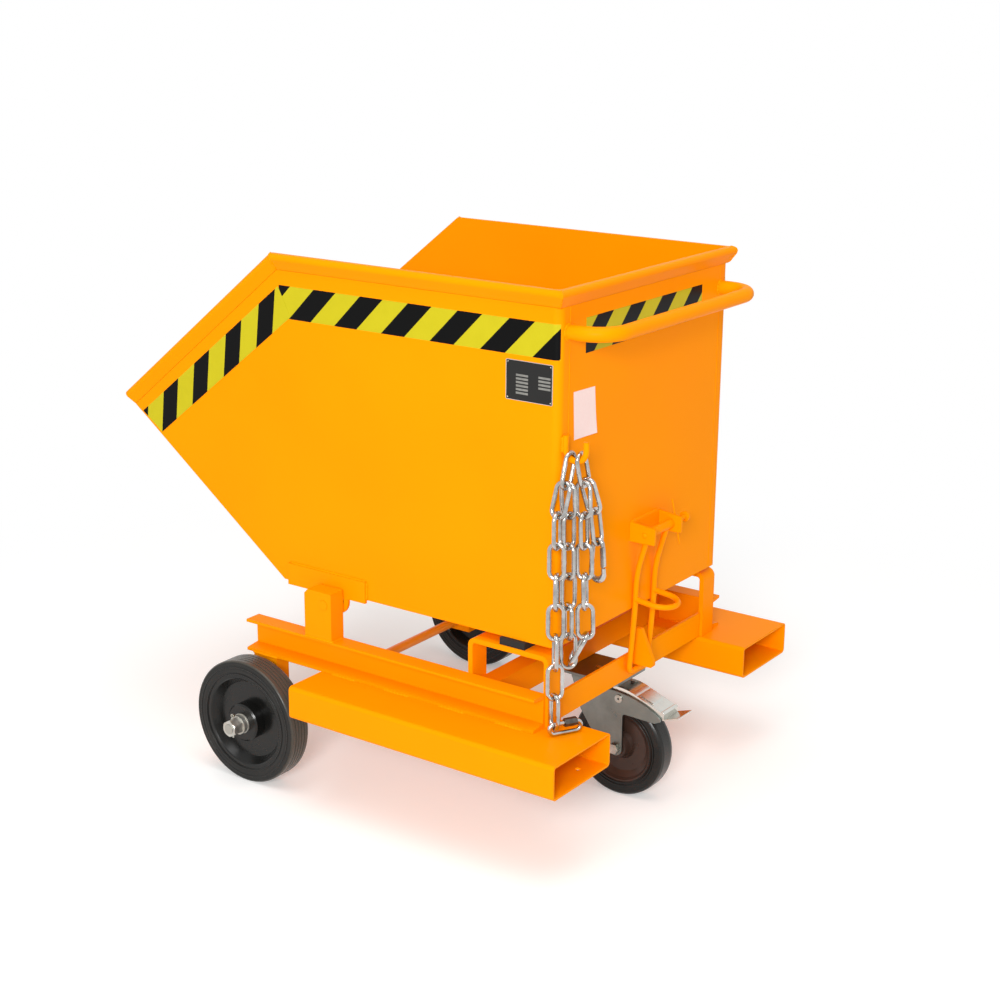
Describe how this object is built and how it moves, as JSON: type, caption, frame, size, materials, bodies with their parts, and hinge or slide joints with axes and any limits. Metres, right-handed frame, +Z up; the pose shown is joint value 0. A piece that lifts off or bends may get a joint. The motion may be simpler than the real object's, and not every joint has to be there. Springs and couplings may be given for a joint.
{
  "type": "tipping box trolley",
  "caption": "Tipping sheet-steel skip on a wheeled chassis with fork pockets, braked swivel caster, push handle, gravity latch and hanging safety chain.",
  "frame": {"origin": "centre of the bounding box on the floor, at rest", "axes": "+X to the push handle and caster, -X to the pouring lip, -Y the pusher's left, +Z up"},
  "size_m": [1.1514, 0.8996, 1.035],
  "materials": {
    "orange_paint": "gloss powder coat on sheet and section steel",
    "zinc": "bright zinc plate",
    "chain_zinc": "bright galvanised steel",
    "tyre_rubber": "matt solid rubber",
    "pad_rubber": "matt rubber",
    "wheel_plastic": "black moulded plastic",
    "bearing_steel": "oiled steel"
  },
  "bodies": {
    "chassis": {"channel_left": "orange_paint", "channel_right": "orange_paint", "fork_pocket_left": "orange_paint", "fork_pocket_right": "orange_paint", "caster_cross_member": "orange_paint", "rear_crossbar": "orange_paint", "rest_frame_left": "orange_paint", "rest_frame_right": "orange_paint", "hinge_post_left": "orange_paint", "hinge_post_right": "orange_paint", "hinge_pins": "orange_paint", "axle_bracket_left": "orange_paint", "axle_bracket_right": "orange_paint", "wheel_axle": "orange_paint", "latch_catch": "orange_paint", "hinge_washers": "zinc", "axle_spacers": "zinc", "axle_collars": "zinc", "axle_split_pins": "zinc", "caster_plate": "zinc", "caster_kingpin": "zinc", "caster_bolts": "zinc", "swivel_race": "zinc", "rest_pads": "pad_rubber"},
    "skip": {"side_panel_left": "orange_paint", "side_panel_right": "orange_paint", "rear_panel": "orange_paint", "skip_floor": "orange_paint", "skip_chute": "orange_paint", "rim_left": "orange_paint", "rim_right": "orange_paint", "rim_rear": "orange_paint", "push_handle": "orange_paint", "hinge_bracket_left": "orange_paint", "hinge_bracket_right": "orange_paint", "latch_bracket": "orange_paint", "latch_pin": "orange_paint", "latch_split_pin": "orange_paint", "chain_hook": "orange_paint", "chain": "chain_zinc", "snap_hook": "chain_zinc", "quick_link": "chain_zinc"},
    "latch_bail": {"latch_bail": "orange_paint"},
    "front_wheel_left": {"front_tyre_left": "tyre_rubber", "front_rim_left": "wheel_plastic", "front_bearing_left": "bearing_steel"},
    "front_wheel_right": {"front_tyre_right": "tyre_rubber", "front_rim_right": "wheel_plastic", "front_bearing_right": "bearing_steel"},
    "caster_fork": {"caster_fork": "zinc", "caster_axle": "zinc", "pedal_pin": "zinc"},
    "caster_wheel": {"caster_tyre": "tyre_rubber", "caster_rim": "wheel_plastic", "caster_bush": "bearing_steel"},
    "brake_pedal": {"brake_pedal": "zinc", "brake_shoe": "pad_rubber"},
    "snap_gate": {"snap_gate": "chain_zinc"},
    "quick_link_nut": {"quick_link_nut": "chain_zinc"}
  },
  "joints": [
    {"name": "skip_tip", "type": "hinge", "parent": "chassis", "child": "skip", "pos_m": [-0.02631, 0, 0.382], "axis": [0, -1, 0], "range_deg": [0, 65]},
    {"name": "front_wheel_left_spin", "type": "hinge", "parent": "chassis", "child": "front_wheel_left", "pos_m": [-0.17931, 0, 0.125], "axis": [0, 1, 0], "continuous": true},
    {"name": "front_wheel_right_spin", "type": "hinge", "parent": "chassis", "child": "front_wheel_right", "pos_m": [-0.17931, 0, 0.125], "axis": [0, 1, 0], "continuous": true},
    {"name": "caster_swivel", "type": "hinge", "parent": "chassis", "child": "caster_fork", "pos_m": [0.38269, 0, 0.228], "axis": [0, 0, 1], "continuous": true},
    {"name": "caster_spin", "type": "hinge", "parent": "caster_fork", "child": "caster_wheel", "pos_m": [0.44169, 0, 0.1], "axis": [0, 1, 0], "continuous": true},
    {"name": "brake_press", "type": "hinge", "parent": "caster_fork", "child": "brake_pedal", "pos_m": [0.44769, 0, 0.2045], "axis": [0, 1, 0], "range_deg": [0, 8.5]},
    {"name": "latch_swing", "type": "hinge", "parent": "skip", "child": "latch_bail", "pos_m": [0.50169, 0, 0.547], "axis": [0, -1, 0], "range_deg": [0, 140]},
    {"name": "snap_gate_open", "type": "hinge", "parent": "skip", "child": "snap_gate", "pos_m": [0.53922, -0.25148, 0.58338], "axis": [0, 1, 0], "range_deg": [0, 24], "stiffness_Nm_per_rad": 0.02},
    {"name": "quick_link_nut_travel", "type": "slide", "parent": "skip", "child": "quick_link_nut", "axis": [-0.4863, -0.8738, 0], "range_m": [0, 0.016]}
  ]
}
